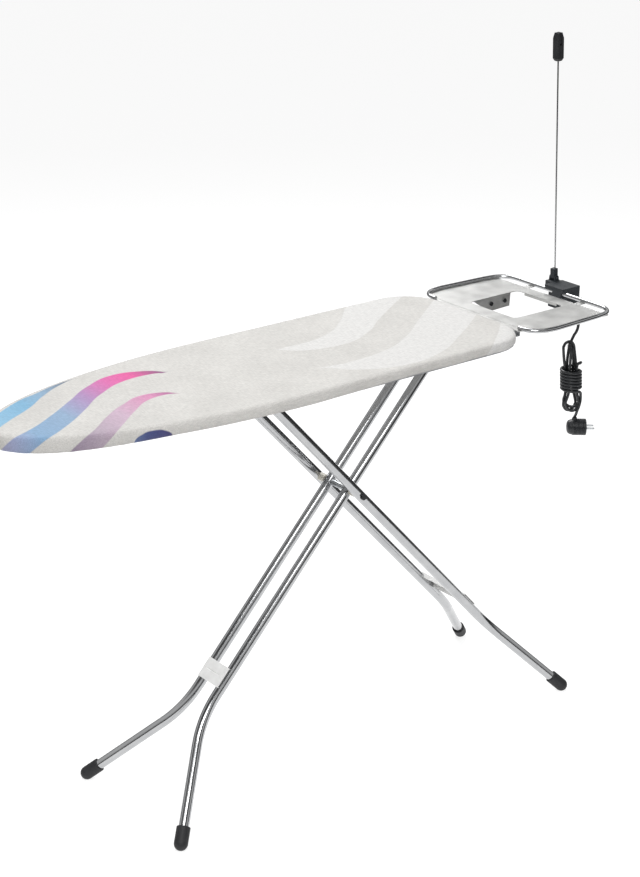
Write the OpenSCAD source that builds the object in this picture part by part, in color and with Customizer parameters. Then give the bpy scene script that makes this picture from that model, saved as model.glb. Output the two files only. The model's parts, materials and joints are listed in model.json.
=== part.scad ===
// Folding ironing board with crossed tube legs, a heat-proof iron rest, a mains socket
// with a stowed lead, and a spring rod that holds the iron's own lead clear of the cloth.
// Frame: +X runs from the nose to the iron rest, +Z is up, and the feet stand on z = 0.

/* [Board] */
// Length of the covered board, nose to tail
board_l = 1200; // [1000:5:1300]
// Width of the covered board
board_w = 394; // [330:2:470]
// Length of the elliptical nose taper
nose_l = 620; // [500:5:660]
// Corner radius at the tail
tail_r = 100; // [60:2:120]
// Working height of the covered top above the floor
top_z = 917; // [700:1:960]
// Cover cloth thickness
cover_t = 1.2; // [0.8:0.1:2]
// Felt pad thickness
pad_t = 6; // [4:0.5:10]
// Steel mesh top thickness
mesh_t = 1.2; // [0.8:0.1:2]
// Depth of the edge rail
rail_h = 15; // [12:0.5:20]
// Width of the edge rail
rail_w = 12; // [8:0.5:18]
// Sheet thickness of the edge rail
rail_t = 1.5; // [1:0.1:2]

/* [Legs] */
// Outside diameter of the leg tubes
tube_d = 22; // [16:0.5:25]
// Wall of the leg tubes
tube_wall = 1.5; // [1:0.1:2.5]
// Centre distance of the two inner leg tubes
inner_gauge = 61.2; // [54:0.5:80]
// Centre distance of the two outer leg tubes
outer_gauge = 138.8; // [126:0.5:170]
// Centre distance of the feet of one leg
foot_gauge = 346; // [260:1:420]
// Leg length from the crossing bolt up to the top pivot
leg_upper = 378.3; // [350:0.1:420]
// Leg length from the crossing bolt down to the centre of the foot ball
leg_lower = 799.1; // [680:0.1:830]
// Distance from the crossing bolt down to the outward bend
leg_bend = 571; // [440:1:600]
// Radius of the outward bend
leg_bend_r = 200; // [60:5:240]
// Distance of the fixed leg pivot from the tail edge
pivot_back = 113; // [100:1:180]
// Drop of the pivot line below the hem of the cover
pivot_drop = 16.3; // [14:0.1:30]
// Length of a rubber foot
foot_len = 34; // [24:1:50]
// Rubber thickness around the tube
foot_wall = 3.5; // [2:0.5:5]

/* [Fasteners] */
// Diameter of the crossing bolt and of the top pivot pin
pin_d = 8; // [6:0.5:10]
// Running clearance of a pin in a turning part, on diameter
pin_gap = 0.4; // [0.2:0.1:0.8]
// Diameter of the top sliding bar
bar_d = 12; // [10:0.5:14]
// Outside diameter of the nylon rollers on the sliding bar
roller_d = 16; // [14.5:0.5:20]
// Clearance between sliding pieces
slide_gap = 0.6; // [0.3:0.1:1.5]

/* [Iron rest] */
// Length of the rest beyond the tail
rest_l = 271.5; // [220:0.5:320]
// Width of the rest at its widest
rest_w = 378; // [330:1:400]
// Diameter of the rim rod
rim_d = 10; // [7:0.5:14]
// Corner radius of the rim
rim_r = 42; // [30:1:60]
// Depth of the rim centre below the working height
rim_drop = 7.2; // [5:0.1:10]
// Sheet thickness of the tray
tray_t = 1.2; // [0.8:0.1:2]
// Gap between the end edge of the tray and the rim centre
tray_gap = 23; // [15:1:60]
// Length of the opening in the tray
window_l = 150; // [100:1:170]
// Width of the opening in the tray
window_w = 145; // [100:1:170]
// Sideways offset of the opening from the centre line
window_y = -1; // [-40:1:40]

/* [Socket] */
// Depth of the socket box beyond the rim
box_l = 43; // [38:0.5:60]
// Width of the socket box
box_w = 56; // [50:1:70]
// Height of the socket box
box_h = 54; // [48:1:70]
// Sideways place of the socket box centre
box_y = 6; // [-60:1:60]
// Diameter of the socket recess
recess_d = 40; // [38.5:0.5:42]
// Length of the lead rod above its knuckle
rod_l = 476; // [300:1:600]
// Diameter of the lead rod
rod_d = 3.4; // [2.5:0.1:5]
// Lean of the rod towards the board, in degrees
rod_lean = 3.3; // [0:0.1:8]
// Length of the lead clip on top of the rod
clip_l = 62; // [40:1:90]

/* [Hidden] */
$fn = 48;

// Overall length: nose tip to the far face of the socket box
overall_l = board_l + rest_l + box_l;
nose_x = -overall_l / 2;
tail_x = nose_x + board_l;
rim_x = tail_x + rest_l;
box_x = rim_x + box_l;

// Stack of the board, from the working height down
pad_top = top_z - cover_t;
mesh_top_z = pad_top - pad_t;
mesh_low = mesh_top_z - mesh_t;
rail_low = mesh_top_z - rail_h;
hem_z = rail_low - cover_t;
pivot_z = hem_z - pivot_drop;
// Tunnel of the hem cord, inboard of the edge rail
tunnel_in = cover_t + rail_w + 3;
tunnel_w = 8;
tunnel_h = 6;

// Scissor geometry: both legs share one angle, so the lower lengths match
tube_r = tube_d / 2;
foot_r = tube_r + foot_wall;
// Each foot stands on a small flat cut this deep into its ball
foot_flat = 1.5;
leg_angle = asin((pivot_z - foot_r + foot_flat) / (leg_upper + leg_lower));
pivot_x = tail_x - pivot_back;
cross_x = pivot_x - leg_upper * cos(leg_angle);
cross_z = pivot_z - leg_upper * sin(leg_angle);
slide_x = pivot_x - 2 * leg_upper * cos(leg_angle);
// Travel of the sliding bar when the legs fold to within two degrees of the board
slide_end = pivot_x - 2 * leg_upper;
tube_over = 10;
inner_y = inner_gauge / 2;
outer_y = outer_gauge / 2;
foot_y = foot_gauge / 2;
// A bend is this much thinner than its straights and laps into them by this angle
bend_thin = 0.12;
bend_lap = 0.8;
bolt_end = outer_y + tube_r + 1;
ear_t = 2.5;
ear_y = inner_y + tube_r + 0.8;

// Ribs and guides under the mesh
rib_w = 20;
guide_d = 6;
guide_y = outer_y - tube_r - guide_d / 2 - 5.5;
guide_z = pivot_z - roller_d / 2 - slide_gap - guide_d / 2;
guide_x0 = slide_end - 25;
guide_x1 = slide_x + 24;
rack_t = 3;
rack_low = pivot_z + bar_d / 2 + slide_gap;

// Release lever
lever_d = 7;
lever_x = slide_x - 58;
lever_z = rail_low + lever_d / 2 - 1;
lever_y0 = -150;
lever_y1 = 16;

// Iron rest
rim_z = top_z - rim_drop;
rim_cx = rim_x - rim_d / 2;
rim_x0 = tail_x + 9 + rim_d / 2;
rim_y = (rest_w - rim_d) / 2;
tray_z = rim_z - rim_d / 2 + tray_t / 2;
tray_x0 = tail_x + 3;
field_h = 0.4;
tray_x1 = rim_cx - tray_gap;
window_x0 = tray_x0 + 57;
arm_t = 3;
arm_w = 20;
arm_y = 122;
arm_x0 = tail_x - 100;
arm_x1 = rim_x0 + 5;
rest_bolt_xy = [for (x = [tail_x - 86, tail_x - 11.5]) for (y = [-arm_y, arm_y]) [x, y]];

// Socket box and rod
box_top = top_z + 5;
box_low = box_top - box_h;
box_x0 = rim_x + 0.5;
plate_low = rim_z + rim_d / 2 - 2;
clamp_y0 = box_y - 22;
clamp_y1 = box_y + 4;
clamp_t = 3;
shell_t = 2.5;
insert_gap = 0.2;
knuckle_w = 12;
knuckle_h = 28;
knuckle_x = rim_x + 27;
knuckle_y = box_y + box_w / 2 + 11;
pin_z = box_top + 7;
clevis_pin_d = 4;
lug_t = 3;
rod_x = 2.5;

// Mains lead: leaves the underside of the socket box and hangs as a tied hank
lead_d = 6.8;
exit_x = box_x - 7;
exit_y = box_y - box_w / 2 + 7;
// The plug, the hank and the strain relief all face the same way, turned about the vertical
plug_turn = -39;
along = [cos(plug_turn), sin(plug_turn), 0];
hank_x = 743.4;
hank_y = -17.3;
hank_top = 794;
hank_h = 176;
hank_w = 45;
hank_lean = 3.5;
wrap_w = 52;
wrap_h = 56;
wrap_drop = 96;
plug_x = 762;
plug_y = -39;
plug_z = 583;
plug_d = 39;
neck_x = -9;
neck_top = plug_z + plug_d / 2 + 5;
relief_l = 26;
relief_lean = 20;
// Sideways place and height of the hanging lead, from the relief's tip into the hank
drop_route = [
    [8.9, 843.6], [10.6, 838], [11.6, 832], [11.8, 826], [11, 820], [9.2, 814],
    [6.4, 808], [3, 802], [-1.4, 796], [-6, 790.5]
];
lead_drop_points = [for (q = drop_route) [exit_x, exit_y, q[1]] + q[0] * along];
// Sideways place, depth and height of the last stretch, from the hank's underside to the plug
tail_route = [[23, -13, 632], [21.2, -11, 622], [19.8, -8, 613], [19.1, -5.2, neck_top]];
lead_tail_points = [for (q = tail_route)
    [hank_x, hank_y, q[2]] + q[0] * along + q[1] * [-along.y, along.x, 0]];

// ---------- shapes that several pieces share ----------

// Board outline drawn in by a margin: superelliptic nose, straight sides, round tail corners
function half_board(m) = let (w = board_w / 2 - m, d = nose_l - m, r = tail_r - m)
    concat(
        [for (a = [0 : 4 : 88]) [nose_x + m + d * (1 - cos(a)), w * pow(sin(a), 2 / 2.1)]],
        [for (a = [90 : -15 : 0]) [tail_x - tail_r + r * cos(a), w - r + r * sin(a)]]
    );
function board_outline(m) = let (h = half_board(m), n = len(h))
    concat(h, [for (i = [n - 1 : -1 : 1]) [h[i].x, -h[i].y]]);

module slab(m, z0, z1) {
    translate([0, 0, z0]) linear_extrude(z1 - z0) polygon(board_outline(m));
}

module ring(m0, m1, z0, z1) {
    translate([0, 0, z0]) linear_extrude(z1 - z0) difference() {
        polygon(board_outline(m0));
        polygon(board_outline(m1));
    }
}

function heading(a, b) = atan2(b.y - a.y, b.x - a.x);
function turn_at(p, i) = let (t = heading(p[i], p[i + 1]) - heading(p[i - 1], p[i]))
    t > 180 ? t - 360 : (t < -180 ? t + 360 : t);
function corner_cut(p, i, r) =
    (i <= 0 || i >= len(p) - 1) ? 0 : r * tan(abs(turn_at(p, i)) / 2);

// Round rod bent in the XY plane along corner points, all bends of radius r
module bent_rod(p, r, d) {
    for (i = [0 : len(p) - 2]) {
        a = heading(p[i], p[i + 1]);
        cut = corner_cut(p, i, r);
        l = norm(p[i + 1] - p[i]) - cut - corner_cut(p, i + 1, r);
        translate([p[i].x, p[i].y, 0]) rotate([0, 0, a])
            translate([cut, 0, 0]) rotate([0, 90, 0]) cylinder(d = d, h = l);
    }
    if (len(p) > 2) for (i = [1 : len(p) - 2]) {
        t = turn_at(p, i);
        a = heading(p[i - 1], p[i]);
        cut = corner_cut(p, i, r);
        side = t > 0 ? 1 : -1;
        translate([p[i].x - cut * cos(a), p[i].y - cut * sin(a), 0]) rotate([0, 0, a])
            translate([0, side * r, 0]) rotate([0, 0, (t > 0 ? -90 : 90 + t) - bend_lap])
                rotate_extrude(angle = abs(t) + 2 * bend_lap)
                    translate([r, 0]) circle(d = d - bend_thin);
    }
}

module bolt(d, l, head_d, head_h) {
    cylinder(d = d, h = l);
    translate([0, 0, -head_h]) cylinder(d1 = head_d * 0.8, d2 = head_d, h = head_h);
}

module hex_nut(d, h) {
    difference() {
        cylinder(d = d * 1.9, h = h, $fn = 6);
        translate([0, 0, -1]) cylinder(d = d, h = h + 2);
    }
}

// Cylinder along Y from y0 to y1
module cyl_y(d, y0, y1, x = 0, z = 0) {
    translate([x, y0, z]) rotate([-90, 0, 0]) cylinder(d = d, h = y1 - y0);
}

// Box given by its low and high corners
module block(lo, hi) {
    translate(lo) cube(hi - lo);
}

// Places a leg drawn along +X from the crossing bolt: outer leg foot towards the tail
module on_outer_leg() {
    translate([cross_x, 0, cross_z]) rotate([0, leg_angle, 0]) children();
}
module on_inner_leg() {
    translate([cross_x, 0, cross_z]) mirror([1, 0, 0]) rotate([0, leg_angle, 0]) children();
}

function leg_points(y0, s0, s1) = let (
        dy = foot_y - y0, ds = leg_lower - leg_bend, f = (s1 - leg_bend) / ds
    ) [[s0, y0], [leg_bend, y0], [s1, y0 + dy * f]];

// One bent leg tube, drilled for the crossing bolt and its top pivot
module leg_tube(side, y0, top_bore, cross_bore) {
    mirror([0, side < 0 ? 1 : 0, 0]) difference() {
        bent_rod(leg_points(y0, -leg_upper - tube_over, leg_lower - 3), leg_bend_r, tube_d);
        bent_rod(
            leg_points(y0, -leg_upper - tube_over - 1, leg_lower - 2),
            leg_bend_r, tube_d - 2 * tube_wall
        );
        cyl_y(top_bore, y0 - tube_d, y0 + tube_d, -leg_upper);
        cyl_y(cross_bore, y0 - tube_d, y0 + tube_d, 0);
    }
}

// Angle by which the lower tube leans outwards
function foot_lean(y0) = atan2(foot_y - y0, leg_lower - leg_bend);

module rubber_foot(y0) {
    for (side = [-1, 1]) translate([leg_lower, side * foot_y, 0])
        rotate([0, 0, side * foot_lean(y0)]) difference() {
            union() {
                sphere(r = foot_r);
                translate([-foot_len, 0, 0]) rotate([0, 90, 0]) cylinder(r = foot_r, h = foot_len);
            }
            translate([-foot_len - 1, 0, 0]) rotate([0, 90, 0])
                cylinder(d = tube_d, h = foot_len + 1 - 3 * cos(foot_lean(y0)));
        }
}

module floor_cut() {
    translate([-board_l, -board_w, -20]) cube([2 * board_l, 2 * board_w, 20]);
}

module tube_plugs(y0) {
    for (side = [-1, 1]) translate([-leg_upper - tube_over, side * y0, 0]) rotate([0, 90, 0]) {
        cylinder(d = tube_d - 2 * tube_wall, h = tube_over - bar_d / 2 - slide_gap);
        translate([0, 0, -1.2]) cylinder(d1 = tube_d - 3, d2 = tube_d - 1, h = 1.2);
    }
}

// Pressed channel welded across a pair of leg tubes, with one bead along the middle
module leg_brace(y0, rise) {
    s0 = leg_bend - 119;
    s1 = s0 + 46;
    y1 = y0 + 4;
    z1 = tube_r + rise;
    t = 1.2;
    difference() {
        union() {
            block([s0, -y1, z1 - t], [s1, y1, z1]);
            block([s0, -y1, 3], [s0 + t, y1, z1]);
            block([s1 - t, -y1, 3], [s1, y1, z1]);
        }
        cyl_y(3, -y1 - 1, y1 + 1, (s0 + s1) / 2, z1 + 0.9);
        for (side = [-1, 1]) translate([s0 - 1, side * y0, 0]) rotate([0, 90, 0])
            cylinder(d = tube_d, h = s1 - s0 + 2);
    }
}

// Swept round tube as one closed polyhedron, with a flat face at each end
function unit(v) = v / norm(v);
function tangent(p, i) = unit(p[min(i + 1, len(p) - 1)] - p[max(i - 1, 0)]);
function tube_faces(n, sides) = concat(
    [[for (k = [sides - 1 : -1 : 0]) k]],
    [[for (k = [0 : sides - 1]) (n - 1) * sides + k]],
    [for (i = [0 : n - 2]) for (k = [0 : sides - 1]) for (half = [0, 1])
        let (a = i * sides + k, b = i * sides + (k + 1) % sides)
        half == 0 ? [a, b, b + sides] : [a, b + sides, a + sides]]
);
module swept_tube(p, d, sides) {
    n = len(p);
    flat = [for (i = [0 : n - 1]) let (
            t = tangent(p, i),
            u = unit(cross([1, 0.02, 0], t)),
            v = cross(t, u)
        ) for (k = [0 : sides - 1])
            p[i] + d / 2 * (cos(360 * k / sides) * u + sin(360 * k / sides) * v)];
    polyhedron(flat, tube_faces(n, sides), convexity = 4);
}

// ---------- board ----------

// Channel rolled from sheet, open towards the middle of the board
module edge_rail() {
    color("gainsboro") difference() {
        ring(cover_t, cover_t + rail_w, rail_low, mesh_top_z);
        ring(cover_t + rail_t, cover_t + rail_w + 1, rail_low + rail_t, mesh_top_z - rail_t);
        rest_bolt_holes();
    }
}

module mesh_top() {
    color("silver") slab(cover_t + rail_w, mesh_low, mesh_top_z);
}

// Pressed ribs under the mesh, fitted inside the edge rail and raised over the hem's tunnel
module cross_ribs() {
    color("silver") difference() {
        intersection() {
            union() {
                slab(cover_t + rail_w, hem_z + tunnel_h + 0.5, mesh_low);
                slab(tunnel_in + tunnel_w + 0.5, rail_low, mesh_low);
            }
            for (x = [guide_x0, guide_x1, pivot_x, tail_x - 86, nose_x + 140])
                block([x - rib_w / 2, -board_w, rail_low], [x + rib_w / 2, board_w, mesh_low]);
        }
        rest_bolt_holes();
    }
}

module felt_pad() {
    color("lightgray") slab(cover_t, mesh_top_z, pad_top);
}

// Cotton cover: top, side band and a hem that turns under the rail, with a cord tunnel
module cover() {
    hem_in = tunnel_in + tunnel_w;
    color("linen") difference() {
        union() {
            slab(0, pad_top, top_z);
            ring(0, cover_t, hem_z, pad_top);
            ring(0, hem_in, hem_z, rail_low);
            ring(tunnel_in, hem_in, hem_z, hem_z + tunnel_h);
        }
        ring(tunnel_in + cover_t, hem_in - cover_t, hem_z + cover_t, hem_z + tunnel_h - cover_t);
        rest_bolt_holes();
    }
}

module hem_cord() {
    gap = cover_t + 0.3;
    color("white")
        ring(tunnel_in + gap, tunnel_in + tunnel_w - gap, hem_z + gap, hem_z + tunnel_h - gap);
}

// ---------- fixed pivot ----------

module pivot_ear(side) {
    low = pivot_z - 13;
    foot_out = ear_y + 12.5;
    mirror([0, side < 0 ? 1 : 0, 0]) difference() {
        union() {
            block([pivot_x - 18, ear_y, pivot_z], [pivot_x + 18, ear_y + ear_t, rail_low]);
            cyl_y(26, ear_y, ear_y + ear_t, pivot_x, pivot_z);
            block([pivot_x - 18, ear_y, rail_low - ear_t], [pivot_x + 18, foot_out, rail_low]);
        }
        cyl_y(pin_d, 0, foot_out + 1, pivot_x, pivot_z);
        for (dx = [-12, 12]) translate([pivot_x + dx, ear_y + 8, low]) cylinder(d = 4, h = 40);
    }
}
module pivot_ear_left() { color("silver") pivot_ear(1); }
module pivot_ear_right() { color("silver") pivot_ear(-1); }

module ear_rivets() {
    color("gray") for (side = [-1, 1]) for (dx = [-12, 12])
        translate([pivot_x + dx, side * (ear_y + 8), rail_low - ear_t]) {
            cylinder(d = 4, h = ear_t);
            translate([0, 0, -1.4]) cylinder(d1 = 5, d2 = 7, h = 1.4);
        }
}

module pivot_pin() {
    color("dimgray") cyl_y(pin_d, -ear_y - ear_t - 5, ear_y + ear_t, pivot_x, pivot_z);
    color("dimgray") cyl_y(13, ear_y + ear_t, ear_y + ear_t + 3, pivot_x, pivot_z);
}

module pivot_nut() {
    color("dimgray") translate([pivot_x, -ear_y - ear_t, pivot_z]) rotate([90, 0, 0])
        hex_nut(pin_d, 4);
}

// ---------- guide of the sliding bar ----------

module guide_wire(side) {
    translate([guide_x0 + guide_d / 2, side * guide_y, guide_z]) rotate([0, 90, 0])
        cylinder(d = guide_d, h = guide_x1 - guide_x0 - guide_d);
}
module guide_wire_left() { color("silver") guide_wire(1); }
module guide_wire_right() { color("silver") guide_wire(-1); }

// Square posts under the ribs; the ends of the guide wires meet their faces
module guide_posts() {
    color("silver") for (x = [guide_x0, guide_x1]) for (side = [-1, 1])
        block([x - guide_d / 2, side * guide_y - guide_d / 2, guide_z - guide_d / 2],
            [x + guide_d / 2, side * guide_y + guide_d / 2, rail_low]);
}

// Notched strip above the bar; the tips stay a sliding gap clear of it
module height_rack() {
    x0 = guide_x0 - rib_w / 2;
    x1 = guide_x1 + rib_w / 2;
    pitch = (x1 - x0) / 12;
    notch = 5.5;
    outline = concat(
        [[x0, rail_low], [x0, rack_low]],
        [for (i = [0 : 11]) for (q = [[0.15, 0], [0.25, notch], [0.75, notch], [0.85, 0]])
            [x0 + (i + q[0]) * pitch, rack_low + q[1]]],
        [[x1, rack_low], [x1, rail_low]]
    );
    color("gray") difference() {
        translate([0, rack_t / 2, 0]) rotate([90, 0, 0]) linear_extrude(rack_t) polygon(outline);
        cyl_y(lever_d + 2, -rack_t, rack_t, lever_x, lever_z);
    }
}

// ---------- release lever ----------

module lever_saddles() {
    color("black") for (y = [-100, -14]) difference() {
        block([lever_x - 8, y - 5, lever_z - lever_d / 2 - 2], [lever_x + 8, y + 5, mesh_low]);
        cyl_y(lever_d + pin_gap, y - 6, y + 6, lever_x, lever_z);
    }
}

// Return spring: wire wound around the lever rod
module lever_spring() {
    turns = 5;
    steps = 10;
    r = lever_d / 2 + 1.6;
    points = [for (i = [0 : turns * steps]) let (a = 360 * i / steps)
        [lever_x + r * cos(a), -33 + 2.65 * i / steps, lever_z + r * sin(a)]];
    color("gray") swept_helix(points, 1.5, 6);
}
module swept_helix(p, d, sides) {
    n = len(p);
    flat = [for (i = [0 : n - 1]) let (
            t = tangent(p, i),
            u = unit(p[i] - [lever_x, p[i].y, lever_z]),
            v = cross(t, u)
        ) for (k = [0 : sides - 1])
            p[i] + d / 2 * (cos(360 * k / sides) * u + sin(360 * k / sides) * v)];
    polyhedron(flat, tube_faces(n, sides), convexity = 6);
}

module lever_rod() {
    color("silver") cyl_y(lever_d, lever_y0, lever_y1, lever_x, lever_z);
}

// Catch plate that swings down over the bar beside the rack
module lever_catch() {
    y0 = rack_t / 2 + 1;
    tip = lever_x + 46;
    outline = [
        [lever_x - 7, lever_z - 2], [lever_x - 7, lever_z + 5], [lever_x + 8, lever_z + 6],
        [tip, rack_low + 9], [tip + 7, rack_low], [tip - 1, rack_low],
        [tip - 8, rack_low + 4], [lever_x + 6, lever_z - 5]
    ];
    color("gray") difference() {
        translate([0, y0 + 4, 0]) rotate([90, 0, 0]) linear_extrude(4) polygon(outline);
        cyl_y(lever_d, 0, y0 + 6, lever_x, lever_z);
    }
}

module lever_grip() {
    z1 = lever_z - lever_d / 2 + 1;
    color("black") difference() {
        union() {
            cyl_y(13, lever_y0 - 12, lever_y0 + 18, lever_x, lever_z);
            hull() {
                block([lever_x - 4, lever_y0 - 12, z1 - 6], [lever_x + 4, lever_y0 + 18, z1]);
                block([lever_x + 52, lever_y0 - 12, z1 - 14], [lever_x + 60, lever_y0 + 18, z1 - 8]);
            }
        }
        cyl_y(lever_d, lever_y0, lever_y0 + 19, lever_x, lever_z);
    }
}

// ---------- iron rest ----------

function rim_points() = [
    [rim_x0, -rim_y + 9 + rim_r], [rim_x0, -rim_y + 8], [rim_x0 + 62, -rim_y],
    [rim_cx - 60, -rim_y + 6], [rim_cx, -rim_y + 14], [rim_cx, rim_y - 14],
    [rim_cx - 60, rim_y - 6], [rim_x0 + 62, rim_y], [rim_x0, rim_y - 8],
    [rim_x0, rim_y - 9 - rim_r]
];

// Rim rod, open on the board side, where its two ends meet the tray
module rim_rod(d) {
    translate([0, 0, rim_z]) bent_rod(rim_points(), rim_r, d);
}

module rest_rim() {
    color("silver") rim_rod(rim_d);
}

module round_square(l, w, r) {
    translate([r, 0]) square([l - 2 * r, w]);
    translate([0, r]) square([l, w - 2 * r]);
    for (x = [r, l - r]) for (y = [r, w - r]) translate([x, y]) circle(r = r);
}

module tray_blank(z0, z1) {
    corner = 46;
    window = [window_x0, window_y - window_w / 2];
    translate([0, 0, z0]) linear_extrude(z1 - z0) difference() {
        union() {
            polygon([
                [tray_x0, -rim_y + corner], [tray_x0 + corner, -rim_y + 1],
                [tray_x0 + 75, -rim_y], [tray_x1, -rim_y + 6.5],
                [tray_x1, rim_y - 6.5], [tray_x0 + 75, rim_y],
                [tray_x0 + corner, rim_y - 1], [tray_x0, rim_y - corner]
            ]);
            for (y = [-80, 80]) translate([tray_x1 - 1, window_y + y - 8])
                square([tray_gap + 1, 16]);
        }
        translate(window) round_square(window_l, window_w, 12);
    }
}

// Field stamped up around the opening, where the iron stands clear of the rim
module tray_field() {
    x0 = tray_x0 + 18;
    x1 = tray_x1 - 8;
    translate([0, 0, tray_z + tray_t - 0.2]) linear_extrude(0.2 + field_h) difference() {
        polygon([
            [x0, -rim_y + 44], [x0 + 30, -rim_y + 10], [x1 - 28, -rim_y + 14],
            [x1, -rim_y + 38], [x1, rim_y - 38], [x1 - 28, rim_y - 14],
            [x0 + 30, rim_y - 10], [x0, rim_y - 44]
        ]);
        translate([window_x0, window_y - window_w / 2]) round_square(window_l, window_w, 12);
    }
}

// Tray sheet welded inside the rim, with a stamped opening whose far edge is folded down
module rest_tray() {
    far = window_y + window_w / 2;
    end = window_x0 + window_l;
    color("lightgray") difference() {
        union() {
            tray_blank(tray_z, tray_z + tray_t);
            tray_field();
            // folded flap under the far edge of the opening
            translate([0, far + tray_t, tray_z]) rotate([90, 0, 0]) linear_extrude(tray_t) polygon([
                [window_x0 + 12, tray_t], [end - 22, tray_t],
                [end - 24, -30], [window_x0 + 62, -32]
            ]);
            // turned lip along the end edge of the opening
            block([end - 0.2, window_y - 50, tray_z - 5], [end + tray_t, window_y + 50, tray_z]);
        }
        for (dx = [68, 110]) cyl_y(5, far - 2, far + 4, window_x0 + dx, tray_z - 15);
        rim_rod(rim_d);
    }
}

module rest_rivets() {
    far = window_y + window_w / 2;
    color("black") for (dx = [68, 110]) {
        cyl_y(5, far - 0.5, far + tray_t + 1, window_x0 + dx, tray_z - 15);
        cyl_y(9.5, far - 2.5, far, window_x0 + dx, tray_z - 15);
        cyl_y(8, far + tray_t, far + tray_t + 1.5, window_x0 + dx, tray_z - 15);
    }
}

// Flat arms that carry the rest: bolted under the last rib and the rail
module rest_arm(side) {
    y0 = side * arm_y - arm_w / 2;
    difference() {
        union() {
            block([arm_x0, y0, hem_z - arm_t], [arm_x1, y0 + arm_w, hem_z]);
            block([arm_x1 - arm_t, y0, hem_z - arm_t], [arm_x1, y0 + arm_w, tray_z]);
            // raised pad that meets the rib above the hem
            block([arm_x0, y0, hem_z - 1], [arm_x0 + 28, y0 + arm_w, rail_low]);
        }
        rest_bolt_holes();
    }
}
module rest_arm_left() { color("silver") rest_arm(1); }
module rest_arm_right() { color("silver") rest_arm(-1); }

module rest_bolt_holes() {
    for (q = rest_bolt_xy) translate([q.x, q.y, hem_z - arm_t - 1]) cylinder(d = 5, h = 13);
}
module rest_bolts() {
    color("dimgray") for (q = rest_bolt_xy) translate([q.x, q.y, hem_z - arm_t])
        bolt(5, 12, 9.5, 2.2);
}

// ---------- socket box on the rim ----------

module socket_housing() {
    y0 = box_y - box_w / 2;
    y1 = box_y + box_w / 2;
    zc = box_top - box_h / 2;
    lug_y = knuckle_y - knuckle_w / 2 - 0.4 - lug_t;
    color("darkslategray") difference() {
        union() {
            difference() {
                block([box_x0, y0, box_low], [box_x, y1, box_top]);
                block([box_x0 + shell_t, y0 + shell_t, box_low + shell_t],
                      [box_x - shell_t, y1 - shell_t, box_top - shell_t]);
            }
            // top plate that reaches over the rim
            block([rim_cx - rim_d / 2 - clamp_t, y0, plate_low], [box_x0 + 1, y1, box_top]);
            // shoulder that carries the rod's clevis
            block([knuckle_x - 16, y1 - 1, box_low + 34], [knuckle_x + 12, knuckle_y + 11, box_top]);
            for (y = [lug_y, knuckle_y + knuckle_w / 2 + 0.4]) hull() {
                translate([knuckle_x - 7, y, box_top - 1]) cube([14, lug_t, 1]);
                cyl_y(12, y, y + lug_t, knuckle_x, pin_z);
            }
        }
        translate([box_x - shell_t - 1, box_y, zc]) rotate([0, 90, 0])
            cylinder(d = recess_d + 2 * insert_gap, h = shell_t + 2);
        cyl_y(clevis_pin_d, lug_y - 1, knuckle_y + knuckle_w, knuckle_x, pin_z);
        rim_bore();
        translate([exit_x, exit_y, box_low - 1]) cylinder(d = 9, h = shell_t + 2);
    }
}

// Straight stretch of rim that the box and its clamp hold
module rim_bore() {
    cyl_y(rim_d, box_y - 60, box_y + 60, rim_cx, rim_z);
}

// Round socket well with its floor and two contact holes
module socket_face() {
    zc = box_top - box_h / 2;
    depth = 20;
    color("dimgray") translate([box_x - depth, box_y, zc]) rotate([0, 90, 0]) difference() {
        cylinder(d = recess_d, h = depth);
        translate([0, 0, 2.5]) cylinder(d = recess_d - 3, h = depth);
        for (s = [-1, 1]) translate([0, s * 9.5, -1]) cylinder(d = 5, h = 5);
        // side slots that hold the earth clips flush with the well
        for (s = [-1, 1]) translate([s * recess_d / 2 - 3, -2.8, 2.5]) cube([6, 5.6, depth]);
    }
}

module earth_clips() {
    zc = box_top - box_h / 2;
    color("gold") translate([box_x - 17.5, box_y, zc]) rotate([0, 90, 0]) intersection() {
        difference() {
            cylinder(d = recess_d - 1, h = 13.5);
            translate([0, 0, -1]) cylinder(d = recess_d - 3, h = 16);
        }
        translate([-recess_d / 2, -2.5, 0]) cube([recess_d, 5, 13.5]);
    }
}

// Hook that closes the box around the rim from the board side
module rim_clamp() {
    x0 = rim_cx - rim_d / 2 - clamp_t;
    color("black") difference() {
        union() {
            block([x0, clamp_y0, rim_z - 10], [x0 + clamp_t, clamp_y1, plate_low]);
            block([x0, clamp_y0, rim_z - 10], [box_x0, clamp_y1, rim_z - 4]);
        }
        rim_bore();
        for (dy = [5, 21]) clamp_screw_hole(clamp_y0 + dy, 3);
    }
}
module clamp_screw_hole(y, d) {
    translate([rim_cx, y, rim_z - 11]) cylinder(d = d, h = 4);
}
module clamp_screws() {
    color("silver") for (dy = [5, 21]) translate([rim_cx, clamp_y0 + dy, rim_z - 11.6]) {
        cylinder(d = 6, h = 1.6);
        cylinder(d = 3, h = 4.6);
    }
}

module clevis_pin() {
    color("silver") cyl_y(clevis_pin_d, knuckle_y - knuckle_w / 2 - lug_t - 0.4,
        knuckle_y + knuckle_w / 2 + lug_t + 0.4, knuckle_x, pin_z);
}

// The rod assembly leans about the clevis pin
module on_rod() {
    translate([knuckle_x, knuckle_y, pin_z]) rotate([0, -rod_lean, 0]) children();
}
module rod_knuckle() {
    color("black") on_rod() difference() {
        union() {
            cyl_y(knuckle_w, -knuckle_w / 2, knuckle_w / 2);
            block([-knuckle_w / 2, -knuckle_w / 2, 0], [knuckle_w / 2, knuckle_w / 2, knuckle_h - 7]);
        }
        cyl_y(clevis_pin_d + pin_gap, -knuckle_w, knuckle_w);
        translate([rod_x, 0, 6]) cylinder(d = rod_d, h = knuckle_h);
    }
}
module lead_rod() {
    color("silver") on_rod() translate([rod_x, 0, 6]) cylinder(d = rod_d, h = knuckle_h - 13 + rod_l + 12);
}

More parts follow.
